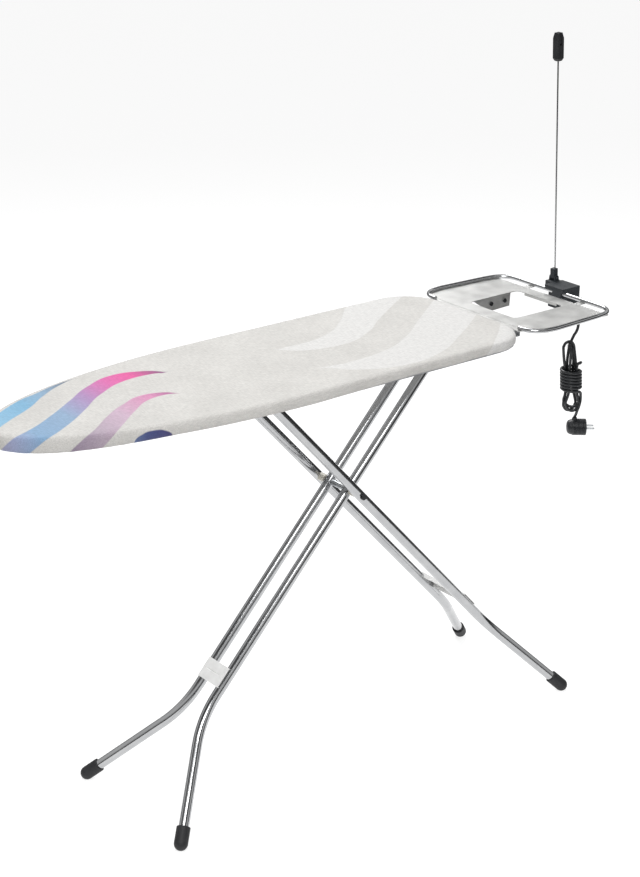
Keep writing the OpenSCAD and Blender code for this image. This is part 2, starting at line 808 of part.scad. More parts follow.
// Rubber lead clip: tapered block, slit from the top to grip the iron's lead
module lead_clip() {
    w = 17;
    z0 = knuckle_h - 7 + rod_l;
    color("black") on_rod() translate([rod_x, 0, 0]) difference() {
        hull() {
            translate([-w / 2 + 3, -w / 2 + 3, z0]) cube([w - 6, w - 6, 1]);
            translate([-w / 2, -w / 2, z0 + 6]) cube([w, w, clip_l - 18]);
            translate([-w / 2 + 2.5, -w / 2 + 2.5, z0 + clip_l - 1]) cube([w - 5, w - 5, 1]);
        }
        translate([0, 0, z0 - 1]) cylinder(d = rod_d, h = 13);
        translate([-1, -w, z0 + clip_l - 26]) cube([2, 2 * w, 30]);
        cyl_y(7, -w, w, 0, z0 + clip_l - 26);
    }
}

// ---------- inner leg ----------

module inner_tube_left() {
    color("silver") on_inner_leg() leg_tube(1, inner_y, pin_d + pin_gap, pin_d + pin_gap);
}
module inner_tube_right() {
    color("silver") on_inner_leg() leg_tube(-1, inner_y, pin_d + pin_gap, pin_d + pin_gap);
}
module inner_brace() { color("gainsboro") on_inner_leg() leg_brace(inner_y, 3.2); }
module inner_plugs() { color("black") on_inner_leg() tube_plugs(inner_y); }
module inner_feet() {
    color("black") difference() {
        on_inner_leg() rubber_foot(inner_y);
        floor_cut();
    }
}
module pivot_sleeve() {
    color("gray") on_inner_leg() sleeve(-leg_upper);
}
module inner_sleeve() {
    color("gray") on_inner_leg() sleeve(0);
}
// Distance tube between the two inner leg tubes
module sleeve(s) {
    l = inner_y - tube_r + 1.5;
    difference() {
        cyl_y(14, -l, l, s);
        cyl_y(pin_d + pin_gap, -l - 1, l + 1, s);
        for (side = [-1, 1]) translate([s - 20, side * inner_y, 0]) rotate([0, 90, 0])
            cylinder(d = tube_d, h = 40);
    }
}

// ---------- outer leg ----------

module outer_tube_left() {
    color("silver") on_outer_leg() leg_tube(1, outer_y, bar_d, pin_d);
}
module outer_tube_right() {
    color("silver") on_outer_leg() leg_tube(-1, outer_y, bar_d, pin_d);
}
module outer_brace() { color("gainsboro") on_outer_leg() leg_brace(outer_y, 2.2); }
module outer_plugs() { color("black") on_outer_leg() tube_plugs(outer_y); }
module outer_feet() {
    color("black") difference() {
        on_outer_leg() rubber_foot(outer_y);
        floor_cut();
    }
}
module sliding_bar() {
    color("silver") on_outer_leg()
        cyl_y(bar_d, -outer_y - tube_r, outer_y + tube_r, -leg_upper);
}
module bar_rollers() {
    color("white") on_outer_leg() for (side = [-1, 1]) difference() {
        cyl_y(roller_d, side * guide_y - 5, side * guide_y + 5, -leg_upper);
        cyl_y(bar_d, side * guide_y - 6, side * guide_y + 6, -leg_upper);
    }
}
module cross_bolt() {
    color("dimgray") on_outer_leg() {
        cyl_y(pin_d, -bolt_end, bolt_end + 6);
        difference() {
            cyl_y(14, -bolt_end - 3, -bolt_end + 2.5);
            outer_tube_cut();
        }
    }
}
module cross_nut() {
    color("dimgray") on_outer_leg() difference() {
        translate([0, bolt_end - 2.5, 0]) rotate([-90, 0, 0]) hex_nut(pin_d, 8);
        outer_tube_cut();
    }
}
module outer_tube_cut() {
    for (side = [-1, 1]) translate([-20, side * outer_y, 0]) rotate([0, 90, 0])
        cylinder(d = tube_d, h = 40);
}
// Nylon spacers on the bolt between the inner and the outer tubes
module cross_spacers() {
    color("black") on_outer_leg() for (side = [-1, 1]) difference() {
        cyl_y(18, side > 0 ? inner_y + tube_r + 0.4 : -outer_y, side > 0 ? outer_y : -inner_y - tube_r - 0.4);
        cyl_y(pin_d, -outer_y - 1, outer_y + 1);
        outer_tube_cut();
    }
}

// ---------- mains lead ----------

module strain_relief() {
    color("black") translate([exit_x, exit_y, box_low]) {
        difference() {
            rotate([0, -relief_lean, plug_turn]) translate([0, 0, -relief_l])
                cylinder(d1 = lead_d + 1.6, d2 = 12, h = relief_l + 4);
            translate([-10, -10, 0]) cube([20, 20, 10]);
        }
        cylinder(d = 9, h = shell_t);
    }
}
module lead_drop() { color("black") swept_tube(lead_drop_points, lead_d, 10); }
module lead_tail() { color("black") swept_tube(lead_tail_points, lead_d, 10); }

// Outer shape of the folded bundle, round at both ends, with the lead's last turns around it
module lead_hank() {
    color("black") translate([hank_x, hank_y, hank_top]) rotate([0, -hank_lean, plug_turn]) {
        translate([0, 0, -hank_w / 2]) sphere(d = hank_w);
        translate([0, 0, hank_w / 2 - hank_h]) cylinder(d = hank_w, h = hank_h - hank_w);
        translate([0, 0, hank_w / 2 - hank_h]) sphere(d = hank_w);
        translate([0, 0, -wrap_drop - wrap_h / 2]) cylinder(d = wrap_w, h = wrap_h);
    }
}

module on_plug() {
    translate([plug_x, plug_y, plug_z]) rotate([0, 0, plug_turn]) children();
}
// Right-angle plug: the lead comes in from above, the pins point sideways
module plug_body() {
    color("black") on_plug() {
        translate([-14, 0, 0]) rotate([0, 90, 0]) cylinder(d = plug_d, h = 32);
        translate([-27, 0, 0]) rotate([0, 90, 0]) cylinder(d1 = 24, d2 = 36, h = 14);
        translate([neck_x, 0, 0]) cylinder(d = 11, h = neck_top - plug_z);
    }
}
module plug_pins() {
    color("silver") on_plug() for (s = [-1, 1]) translate([18, s * 9.5, 0]) rotate([0, 90, 0]) {
        cylinder(d = 4.8, h = 17.5);
        translate([0, 0, 17.5]) cylinder(d1 = 4.8, d2 = 3, h = 1.5);
    }
}

edge_rail();
mesh_top();
cross_ribs();
felt_pad();
cover();
hem_cord();
pivot_ear_left();
pivot_ear_right();
ear_rivets();
pivot_pin();
pivot_nut();
guide_wire_left();
guide_wire_right();
guide_posts();
height_rack();
lever_saddles();
lever_spring();
lever_rod();
lever_catch();
lever_grip();
rest_rim();
rest_tray();
rest_rivets();
rest_arm_left();
rest_arm_right();
rest_bolts();
socket_housing();
socket_face();
earth_clips();
rim_clamp();
clamp_screws();
clevis_pin();
rod_knuckle();
lead_rod();
lead_clip();
inner_tube_left();
inner_tube_right();
inner_brace();
inner_plugs();
inner_feet();
inner_sleeve();
pivot_sleeve();
outer_tube_left();
outer_tube_right();
outer_brace();
outer_plugs();
outer_feet();
sliding_bar();
bar_rollers();
cross_bolt();
cross_nut();
cross_spacers();
strain_relief();
lead_drop();
lead_hank();
lead_tail();
plug_body();
plug_pins();
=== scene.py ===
import json
import math

import bmesh
import bpy
from mathutils import Matrix, Vector, noise

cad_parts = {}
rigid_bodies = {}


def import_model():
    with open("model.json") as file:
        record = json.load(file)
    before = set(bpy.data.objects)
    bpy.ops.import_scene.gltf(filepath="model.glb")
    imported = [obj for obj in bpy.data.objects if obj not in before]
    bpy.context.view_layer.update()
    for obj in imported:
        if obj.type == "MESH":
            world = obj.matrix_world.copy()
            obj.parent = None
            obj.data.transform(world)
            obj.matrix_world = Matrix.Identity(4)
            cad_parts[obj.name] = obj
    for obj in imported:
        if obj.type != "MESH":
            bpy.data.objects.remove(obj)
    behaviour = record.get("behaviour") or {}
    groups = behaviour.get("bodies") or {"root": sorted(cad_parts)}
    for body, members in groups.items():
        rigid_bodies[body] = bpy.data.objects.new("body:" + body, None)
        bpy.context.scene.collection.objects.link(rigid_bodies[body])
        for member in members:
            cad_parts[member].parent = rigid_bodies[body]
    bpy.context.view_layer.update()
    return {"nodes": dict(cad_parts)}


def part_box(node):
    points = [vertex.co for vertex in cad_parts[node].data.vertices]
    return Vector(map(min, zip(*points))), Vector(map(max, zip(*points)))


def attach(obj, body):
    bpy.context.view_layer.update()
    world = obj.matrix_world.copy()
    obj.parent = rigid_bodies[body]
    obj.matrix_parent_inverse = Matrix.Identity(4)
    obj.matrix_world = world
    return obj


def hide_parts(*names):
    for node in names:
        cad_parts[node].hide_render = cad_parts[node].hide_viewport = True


for leftover in list(bpy.data.objects):
    bpy.data.objects.remove(leftover)
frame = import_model()
MM = 0.001


# ---------- camera ----------

def look_from(place, yaw, pitch, roll, lens):
    """Makes the camera. Yaw turns from +Y towards +X, pitch is downwards, roll is about the line of sight."""
    yaw, pitch, roll = math.radians(yaw), math.radians(pitch), math.radians(roll)
    ahead = Vector((math.sin(yaw) * math.cos(pitch), math.cos(yaw) * math.cos(pitch), -math.sin(pitch)))
    level = Vector((math.cos(yaw), -math.sin(yaw), 0))
    upward = level.cross(ahead)
    right = math.cos(roll) * level + math.sin(roll) * upward
    up = math.cos(roll) * upward - math.sin(roll) * level
    data = bpy.data.cameras.new("studio_camera")
    data.lens = lens
    data.sensor_width = 36
    data.clip_end = 100
    camera = bpy.data.objects.new("studio_camera", data)
    bpy.context.collection.objects.link(camera)
    turn = Matrix((right, up, -ahead)).transposed().to_4x4()
    camera.matrix_world = Matrix.Translation(place) @ turn
    bpy.context.scene.camera = camera


look_from(Vector((-2.404, -2.9609, 2.2211)), yaw=39.303, pitch=21.442, roll=0.743, lens=80.7)


# ---------- material helpers ----------

def colour(code):
    """Linear colour of an sRGB hex code."""
    def channel(i):
        c = int(code[i:i + 2], 16) / 255
        return c / 12.92 if c <= 0.04045 else ((c + 0.055) / 1.055) ** 2.4
    return (channel(0), channel(2), channel(4), 1)


def add(tree, kind, sockets=None, **settings):
    """Adds a shader node with its settings. sockets holds a value or another node's output for each input."""
    node = tree.nodes.new("ShaderNode" + kind)
    for key, value in settings.items():
        setattr(node, key, value)
    for key, value in (sockets or {}).items():
        if isinstance(value, bpy.types.NodeSocket):
            tree.links.new(value, node.inputs[key])
        else:
            node.inputs[key].default_value = value
    return node


def start_material(name):
    """A new material, its node tree and the object coordinates, which are in metres."""
    material = bpy.data.materials.new(name)
    material.use_nodes = True
    material.node_tree.nodes.clear()
    tree = material.node_tree
    place = add(tree, "TexCoord").outputs["Object"]
    return material, tree, place


def end_material(tree, bump=None, **surface):
    """Joins the shader and the bump to the output."""
    if bump is not None:
        surface["Normal"] = bump.outputs["Normal"]
    sockets = {key.replace("_", " "): value for key, value in surface.items()}
    shader = add(tree, "BsdfPrincipled", sockets)
    add(tree, "OutputMaterial", {"Surface": shader.outputs["BSDF"]})


def ramp(tree, factor, stops):
    """Colour ramp through (position, hex colour) stops."""
    node = add(tree, "ValToRGB", {"Fac": factor})
    band = node.color_ramp
    while len(band.elements) < len(stops):
        band.elements.new(0.5)
    for element, (position, code) in zip(band.elements, stops):
        element.position = position
        element.color = colour(code)
    return node.outputs["Color"]


def grain(tree, place, spacing, detail=2, stretch=(1, 1, 1)):
    """Noise whose grains are about spacing millimetres apart, stretched along the axes."""
    scaled = add(tree, "Mapping", {"Vector": place, "Scale": stretch})
    return add(tree, "TexNoise", {
        "Vector": scaled.outputs["Vector"], "Scale": 1 / (spacing * MM), "Detail": detail,
    }).outputs["Fac"]


def span(tree, value, low, high):
    """Value from 0 to 1, moved into low to high."""
    return add(tree, "MapRange", {"Value": value, "To Min": low, "To Max": high}).outputs["Result"]


# ---------- materials ----------

def bright_metal(name, hex_light, hex_dark, rough, streak_mm):
    """A polished or satin metal with faint cloudy wear."""
    material, tree, place = start_material(name)
    wear = grain(tree, place, 35, detail=3)
    fine = grain(tree, place, streak_mm, detail=2)
    tint = ramp(tree, wear, [(0.3, hex_dark), (0.7, hex_light)])
    bump = add(tree, "Bump", {"Height": fine, "Strength": 0.04, "Distance": 0.0002})
    matt = span(tree, wear, rough * 0.8, rough * 1.25)
    end_material(tree, bump, Base_Color=tint, Metallic=1.0, Roughness=matt)
    return material


# Chromed steel tube: drawn and plated, a mirror with a hair of orange peel
chrome = bright_metal("chromed_steel_tube", "BEBFC0", "B2B3B5", 0.15, 2)
# Satin stainless sheet: rolled and lightly brushed, so highlights are broad
satin_sheet = bright_metal("satin_stainless_sheet", "E3E3E1", "D5D5D3", 0.34, 1.2)
# Zinc-plated pressed steel: dull, slightly blue, with faint cloudiness
zinc = bright_metal("zinc_plated_steel", "C9CCCE", "AEB1B4", 0.38, 1.5)
# Black-zinc fasteners: dark metal with worn lighter patches
black_zinc = bright_metal("black_zinc_steel", "4A4B4D", "2C2D2F", 0.4, 1)
# Pressed brass contact spring
brass = bright_metal("pressed_brass", "D8B56A", "C09A4E", 0.3, 1)


def moulded(name, hex_light, hex_dark, rough, grit, ior=1.46, relief=0.12):
    """Moulded plastic or rubber with a fine grained skin and slight dusting."""
    material, tree, place = start_material(name)
    dust = grain(tree, place, 18, detail=4)
    skin = grain(tree, place, grit, detail=1)
    tint = ramp(tree, dust, [(0.35, hex_dark), (0.75, hex_light)])
    bump = add(tree, "Bump", {"Height": skin, "Strength": relief, "Distance": 0.0002})
    end_material(tree, bump, Base_Color=tint, Roughness=span(tree, dust, rough * 0.9, rough * 1.15), IOR=ior)
    return material


# Moulded black rubber: matt, grey where it is scuffed
rubber = moulded("moulded_black_rubber", "26272A", "16171A", 0.62, 0.8, 1.52, 0.2)
# Glass-filled nylon in dark slate, spark-eroded grain
slate = moulded("slate_nylon", "34383C", "23272B", 0.5, 0.7)
# Satin PVC sheath of the mains lead
sheath = moulded("black_pvc_sheath", "2B2D31", "1B1D20", 0.38, 2.5, 1.53, 0.06)
# Natural nylon of the rollers and spacers
nylon = moulded("natural_nylon", "DCD9CF", "CFCBBF", 0.42, 1)
# Pale grey on the chromed straps of the legs: a painted reflection, the near-white their chrome shows of the
# white surroundings, drawn as a lacquer
strap_painted_reflection = moulded("pale_painted_reflection", "F0F0EF", "E4E4E3", 0.4, 3, 1.5, 0.04)
# ABS of the socket insert, glossier than the housing
abs_grey = moulded("dark_abs", "45484C", "303337", 0.35, 1.2)


# Length of the print in millimetres, from the nose to the tail
PRINT_L = 1200


def mask_between(tree, x, y, centre, half, soft=2.5):
    """1 inside a printed band. Its centre line and half width follow x, as (x, value) in millimetres."""
    def curve(points, low, high):
        node = add(tree, "FloatCurve", {"Value": x})
        line = node.mapping.curves[0]
        while len(line.points) < len(points):
            line.points.new(0.5, 0.5)
        for point, (px, value) in zip(line.points, points):
            point.location = (px / PRINT_L, (value - low) / (high - low))
        node.mapping.update()
        return span(tree, node.outputs[0], low, high)
    middle = curve(centre, -300, 300)
    width = curve(half, 0, 100)
    off = add(tree, "Math", {0: y, 1: middle}, operation="SUBTRACT").outputs[0]
    away = add(tree, "Math", {0: off}, operation="ABSOLUTE").outputs[0]
    inside = add(tree, "Math", {0: width, 1: away}, operation="SUBTRACT").outputs[0]
    return add(tree, "MapRange", {"Value": inside, "From Min": 0.0, "From Max": soft}).outputs["Result"]


def printed_cotton():
    """Plain-weave cotton canvas in warm light grey, with printed bands in pale grey and in pink to blue."""
    material, tree, place = start_material("printed_cotton_canvas")
    # Threads are 0.4 mm apart; drawn at 1.6 mm so that the weave shows
    warp = grain(tree, place, 1.6, detail=1, stretch=(0.12, 1, 1))
    weft = grain(tree, place, 1.6, detail=1, stretch=(1, 0.12, 1))
    weave = add(tree, "Math", {0: warp, 1: weft}, operation="MULTIPLY").outputs[0]
    cloud = grain(tree, place, 90, detail=3)
    axes = add(tree, "SeparateXYZ", {"Vector": place})
    low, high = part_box("cover")
    along = add(tree, "MapRange", {
        "Value": axes.outputs["X"], "From Min": low.x, "From Max": low.x + PRINT_L * MM,
    }).outputs["Result"]
    # The print was made on flat cloth, so down the sides it runs on by the depth below the top
    y, z = axes.outputs["Y"], axes.outputs["Z"]
    depth = add(tree, "Math", {0: high.z, 1: z}, operation="SUBTRACT").outputs[0]
    facing = add(tree, "Math", {0: y}, operation="SIGN").outputs[0]
    folded = add(tree, "Math", {0: facing, 1: depth, 2: y}, operation="MULTIPLY_ADD").outputs[0]
    across = add(tree, "Math", {0: folded, 1: 1000.0}, operation="MULTIPLY").outputs[0]
    ground = ramp(tree, cloud, [(0.3, "CFCDC9"), (0.7, "D8D6D2")])
    pale = [
        ([(0, 60), (680, 52), (760, 26), (840, 28), (920, 68), (1000, 132), (1200, 260)],
         [(0, 0), (680, 0), (730, 18), (800, 30), (900, 44), (1000, 56), (1200, 60)]),
        ([(0, -80), (680, -86), (770, -128), (870, -136), (960, -108), (1060, -46), (1200, 50)],
         [(0, 0), (680, 0), (740, 20), (830, 42), (930, 55), (1060, 66), (1200, 70)]),
        ([(0, -300), (1000, -280), (1100, -226), (1200, -150)],
         [(0, 0), (1000, 30), (1100, 50), (1200, 60)]),
    ]
    cloth = ground
    for centre, half in pale:
        mask = mask_between(tree, along, across, centre, half)
        cloth = add(tree, "Mix", {0: mask, 6: cloth, 7: colour("DFDEDC")}, data_type="RGBA").outputs[2]
    coloured = [
        ([(0, -84), (60, -66), (130, -28), (200, 20), (270, 70), (350, 101), (410, 92), (450, 70),
          (1200, 70)],
         [(0, 27), (130, 31), (250, 27), (340, 23), (400, 14.5), (430, 8), (452, 0), (500, 0), (1200, 0)],
         [(0.0, "A9A6C6"), (0.05, "86A9CA"), (0.13, "8EAAC8"), (0.2, "AE88BA"), (0.26, "DA66AC"),
          (0.31, "E6559F"), (0.365, "7C4A78")]),
        ([(0, -260), (80, -176), (150, -138), (210, -92), (270, -50), (330, -22), (370, -27), (398, -45),
          (1200, -45)],
         [(0, 20), (100, 25), (200, 28), (280, 21), (340, 13), (375, 7), (402, 0), (450, 0), (1200, 0)],
         [(0.07, "8D7F95"), (0.13, "B2A2B1"), (0.2, "CAAFC3"), (0.28, "D78DB6"), (0.33, "9C4C86")]),
        ([(0, 10), (60, 50), (110, 78), (170, 110), (230, 138), (290, 152), (1200, 152)],
         [(0, 20), (60, 23), (110, 24), (170, 13), (230, 6), (295, 0), (350, 0), (1200, 0)],
         [(0.02, "8FBEDB"), (0.1, "7AB0D2"), (0.15, "8BACC8"), (0.21, "6C7688")]),
        ([(0, -194), (205, -195), (254, -207), (299, -217), (1200, -220)],
         [(0, 0), (201, 0), (212, 22), (229, 34), (254, 40), (274, 36), (291, 22), (302, 0), (1200, 0)],
         [(0.17, "6C7FA6"), (0.2, "4A5284"), (0.25, "4A4472")]),
    ]
    for centre, half, stops in coloured:
        ink = ramp(tree, along, stops)
        mask = mask_between(tree, along, across, centre, half)
        cloth = add(tree, "Mix", {0: mask, 6: cloth, 7: ink}, data_type="RGBA").outputs[2]
    # The yarn's thick and thin places shade the print as well as the plain ground
    yarn = ramp(tree, weave, [(0.12, "E4E4E4"), (0.4, "FFFFFF")])
    shaded = add(tree, "Mix", {0: 1.0, 6: cloth, 7: yarn}, data_type="RGBA", blend_type="MULTIPLY")
    bump = add(tree, "Bump", {"Height": weave, "Strength": 0.35, "Distance": 0.0004})
    end_material(tree, bump, Base_Color=shaded.outputs[2], Roughness=0.88, Sheen_Weight=0.25,
                 Sheen_Roughness=0.5, Specular_IOR_Level=0.25)
    return material


def needled_felt():
    """Needled polyester felt: matt, grey and white fibres in a cloudy mat."""
    material, tree, place = start_material("needled_felt")
    fibre = grain(tree, place, 3, detail=6)
    tint = ramp(tree, fibre, [(0.35, "A6A39F"), (0.65, "CFCCC8")])
    bump = add(tree, "Bump", {"Height": fibre, "Strength": 0.6, "Distance": 0.001})
    end_material(tree, bump, Base_Color=tint, Roughness=0.95, Sheen_Weight=0.3)
    return material


cotton = printed_cotton()
felt = needled_felt()


# ---------- shape helpers ----------

def piece(name, mesh, material, body, replaced=(), crease=35):
    """Makes the mesh an object that rides on a body and stands for CAD nodes. Takes a bmesh or a mesh."""
    if isinstance(mesh, bmesh.types.BMesh):
        made = bpy.data.meshes.new(name)
        mesh.to_mesh(made)
        mesh.free()
        mesh = made
    for face in mesh.polygons:
        face.use_smooth = True
    mesh.set_sharp_from_angle(angle=math.radians(crease))
    obj = bpy.data.objects.new(name, mesh)
    bpy.context.collection.objects.link(obj)
    mesh.materials.append(material)
    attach(obj, body)
    if replaced:
        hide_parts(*replaced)
    return obj


def smooth_route(points, step):
    """A smooth line through the points, with a point about every step."""
    points = [Vector(p) for p in points]
    ends = [2 * points[0] - points[1]] + points + [2 * points[-1] - points[-2]]
    line = []
    for a, b, c, d in zip(ends, ends[1:], ends[2:], ends[3:]):
        count = max(1, round((c - b).length / step))
        for i in range(count):
            t = i / count
            line.append(0.5 * (2 * b + (c - a) * t + (2 * a - 5 * b + 4 * c - d) * t ** 2
                               + (3 * b - a - 3 * c + d) * t ** 3))
    line.append(points[-1])
    return line


def round_line(name, line, diameter, material, body, sides=12, closed=False, replaced=()):
    """A round wire or cord as a curve along a line of points."""
    data = bpy.data.curves.new(name, "CURVE")
    data.dimensions = "3D"
    data.bevel_depth = diameter / 2
    data.bevel_resolution = sides // 4 - 1
    data.use_fill_caps = True
    spline = data.splines.new("POLY")
    spline.points.add(len(line) - 1)
    for point, place in zip(spline.points, line):
        point.co = (*place, 1)
    spline.use_smooth = True
    spline.use_cyclic_u = closed
    obj = bpy.data.objects.new(name, data)
    bpy.context.collection.objects.link(obj)
    data.materials.append(material)
    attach(obj, body)
    if replaced:
        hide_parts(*replaced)
    return obj


def spun(profile, axis_place, axis, segments=40):
    """A closed turned shape. profile is (radius, height) along the axis, in metres, from axis to axis."""
    bm = bmesh.new()
    verts = [bm.verts.new((r, 0, h)) for r, h in profile]
    edges = [bm.edges.new(pair) for pair in zip(verts, verts[1:])]
    bmesh.ops.spin(bm, geom=verts + edges, cent=(0, 0, 0), axis=(0, 0, 1), angle=math.tau, steps=segments,
                   use_merge=True, use_duplicate=False)
    bmesh.ops.remove_doubles(bm, verts=bm.verts, dist=1e-6)
    bmesh.ops.recalc_face_normals(bm, faces=bm.faces)
    turn = Vector((0, 0, 1)).rotation_difference(Vector(axis)).to_matrix()
    bmesh.ops.rotate(bm, cent=(0, 0, 0), matrix=turn, verts=bm.verts)
    bmesh.ops.translate(bm, vec=axis_place, verts=bm.verts)
    return bm


# ---------- mains lead ----------

LEAD_D = 6.8 * MM
TURN = math.radians(-39)
ALONG = Vector((math.cos(TURN), math.sin(TURN), 0))
BACK = Vector((-math.sin(TURN), math.cos(TURN), 0))
EXIT = Vector((750.25, -15, 0)) * MM
HANK = Vector((743.4, -17.3, 0)) * MM
HANK_TOP = 794
HANK_LEAN = math.tan(math.radians(3.5))


def drop_route():
    """The hanging stretch from the strain relief's tip down into the hank."""
    route = [(8.9, 843.6), (10.6, 838), (11.6, 832), (11.8, 826), (11, 820), (9.2, 814), (6.4, 808), (3, 802)]
    return [EXIT + ALONG * x * MM + Vector((0, 0, z * MM)) for x, z in route]


def in_hank(x, y, z):
    """A point of the hank: sideways, depth and height below its top, in millimetres."""
    return HANK + ALONG * (x - z * HANK_LEAN) * MM + BACK * y * MM + Vector((0, 0, (HANK_TOP + z) * MM))


def fold(a, b, z_side, z_end, bulge):
    """The turn at one end of the hank, from over point a to over point b, as a half loop."""
    middle = (Vector(a) + Vector(b)) / 2
    out = (Vector(b) - Vector(a)).normalized() * bulge
    points = []
    for i in range(9):
        angle = math.pi * i / 8
        side = middle - out * math.cos(angle)
        points.append(in_hank(side.x, side.y, z_side + (z_end - z_side) * math.sin(angle)))
    return points


def hank_route():
    """Three and a half folded turns, then seven wraps around them, and out at the bottom."""
    line = [in_hank(0, 3, -10), in_hank(5, 7, -28), in_hank(7, 9, -52)]
    line += [in_hank(6, 10, -72), in_hank(6, 10, -120)]
    line += fold((6, 10), (-13, -3), -153, -172.4, 18.5)
    line += [in_hank(-13, -4, -120), in_hank(-13, -4, -74), in_hank(-16, -5, -52)]
    line += fold((-16, -6), (6, 3), -20, -3.6, 14)
    line += [in_hank(11, 3, -52), in_hank(12, 3, -74), in_hank(12, 3, -120)]
    line += fold((12, 3), (-10, 8), -148, -165, 17.5)
    line += [in_hank(-9, 9, -120), in_hank(-9, 9, -74), in_hank(-7, 10, -50)]
    line += fold((-3, 10), (-1, -10), -24, -9, 12)
    line += [in_hank(-3, -12, -50), in_hank(-5, -12, -74), in_hank(-6, -12, -120)]
    line += fold((-6, -12), (8, -10), -148, -169, 15.5)
    line += [in_hank(12, -9, -120), in_hank(12, -9, -74), in_hank(12.5, -10, -62), in_hank(14, -13.5, -54)]
    line += [in_hank(19, -12.5, -51), in_hank(22.5, -4, -53), in_hank(21.5, 7, -59), in_hank(13, 17, -65)]
    turns, steps = 6.58, 20
    count = round(turns * steps)
    for i in range(count + 1):
        angle = math.radians(90) + math.tau * i / steps
        line.append(in_hank(22.4 * math.cos(angle), 21.6 * math.sin(angle), -70.5 - 48.5 * i / count))
    line += [in_hank(20, -12, -124), in_hank(21.2, -8, -134), in_hank(20, -10, -146), in_hank(16, -14, -158)]
    line += [in_hank(12, -15, -168), in_hank(9.5, -11.5, -178)]
    return line


def tail_route():
    """The last stretch, from the hank's underside into the neck of the plug."""
    return [HANK + ALONG * 19.1 * MM - BACK * 5.4 * MM + Vector((0, 0, 609 * MM))]


route = smooth_route(drop_route() + hank_route() + tail_route(), 2.5 * MM)
lead = round_line("mains_lead", route, LEAD_D, sheath, "board", sides=12,
                  replaced=("lead_drop", "lead_hank", "lead_tail"))

# ---------- plug and strain relief ----------

PLUG = Vector((762, -39, 583)) * MM
RIB_PITCH = 3


def plug_shell():
    """Moulded plug body: domed back, ribbed waist and a flat face, turned about the line of its pins."""
    profile = [(0, -27), (7, -26.8), (12, -25.5), (15.5, -22.5), (17.4, -18), (18.2, -14)]
    for i in range(9):
        low = -12.5 + i * RIB_PITCH
        profile += [(19.5, low), (19.5, low + 1.5), (18.5, low + 2.1)]
    profile += [(19.4, 14.5), (19.4, 17), (18.6, 18), (0, 18)]
    return spun([(r * MM, h * MM) for r, h in profile], PLUG, ALONG, segments=48)


def plug_neck():
    """Tapered neck on top of the plug, where the lead goes in."""
    profile = [(0, 12), (7, 12), (6.4, 20), (5.6, 21.5), (5.6, 22.5)]
    profile += [(5, 23), (5, 24), (4.4, 24.5), (0, 24.5)]
    return spun([(r * MM, h * MM) for r, h in profile], PLUG - ALONG * 9 * MM, (0, 0, 1), segments=32)


plug = piece("plug_shell", plug_shell(), sheath, "board", ("plug_body",), crease=30)
neck = piece("plug_neck", plug_neck(), sheath, "board")


def relief_boot():
    """Ribbed strain relief that leans out of the housing's underside."""
    lean = math.radians(20)
    down = ALONG * math.sin(lean) - Vector((0, 0, math.cos(lean)))
    profile = [(0, -3), (6, -3), (6, 1.5)]
    for i in range(6):
        r, low = 5.8 - 0.26 * i, 2.2 + 3.6 * i
        profile += [(r, low), (r, low + 2), (r - 1.1, low + 2.5), (r - 1.1, low + 3.3)]
    profile += [(4.2, 24.2), (4.2, 26), (3.5, 26), (0, 25)]
    return spun([(r * MM, h * MM) for r, h in profile], EXIT + Vector((0, 0, 868 * MM)), down, 32)


boot = piece("relief_boot", relief_boot(), sheath, "board", ("strain_relief",))


# ---------- cloth cover, hem cord and felt ----------

NOSE_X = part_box("cover")[0].x
TAIL_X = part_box("cover")[1].x
HALF_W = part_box("cover")[1].y
NOSE_L = 620 * MM
TAIL_R = 100 * MM


def outline(margin, spacing=5 * MM):
    """The board's outline drawn in by a margin, evenly spaced, from the nose tip round by the +Y side."""
    w, d, r = HALF_W - margin, NOSE_L - margin, max(TAIL_R - margin, 0.001)
    half = []
    for i in range(241):
        a = math.pi / 2 * i / 240
        half.append(Vector((NOSE_X + margin + d * (1 - math.cos(a)), w * math.sin(a) ** (2 / 2.1), 0)))
    for i in range(61):
        a = math.pi / 2 * (1 - i / 60)
        half.append(Vector((TAIL_X - TAIL_R + r * math.cos(a), w - r + r * math.sin(a), 0)))
    loop = half + [Vector((p.x, -p.y, 0)) for p in reversed(half)][1:]
    lengths = [0.0]
    for a, b in zip(loop, loop[1:] + loop[:1]):
        lengths.append(lengths[-1] + (b - a).length)
    return loop + loop[:1], lengths


def ring_places(margin, count):
    """Points spaced evenly along the outline at a margin."""
    loop, lengths = outline(margin)
    total = lengths[-1]
    places, j = [], 0
    for i in range(count):
        target = total * i / count
        while lengths[j + 1] < target:
            j += 1
        share = (target - lengths[j]) / max(lengths[j + 1] - lengths[j], 1e-9)
        places.append(loop[j].lerp(loop[j + 1], share))
    return places


def ringed_cloth(profile, count, wrinkle=None, closed=False):
    """Surface through rings round the outline. profile is (margin, height), from the middle outwards."""
    bm = bmesh.new()
    edges_before = None
    for row, (margin, z) in enumerate(profile):
        verts = []
        for i, p in enumerate(ring_places(margin, count)):
            q = Vector((p.x, p.y, z))
            if wrinkle:
                q = wrinkle(q, row, i / count)
            verts.append(bm.verts.new(q))
        edges = [bm.edges.new((verts[k], verts[(k + 1) % count])) for k in range(count)]
        if edges_before:
            bmesh.ops.bridge_loops(bm, edges=edges_before + edges)
        else:
            bm.faces.new(verts)
        edges_before = edges
    if closed:
        bm.faces.new(verts)
    bmesh.ops.recalc_face_normals(bm, faces=bm.faces)
    return bm


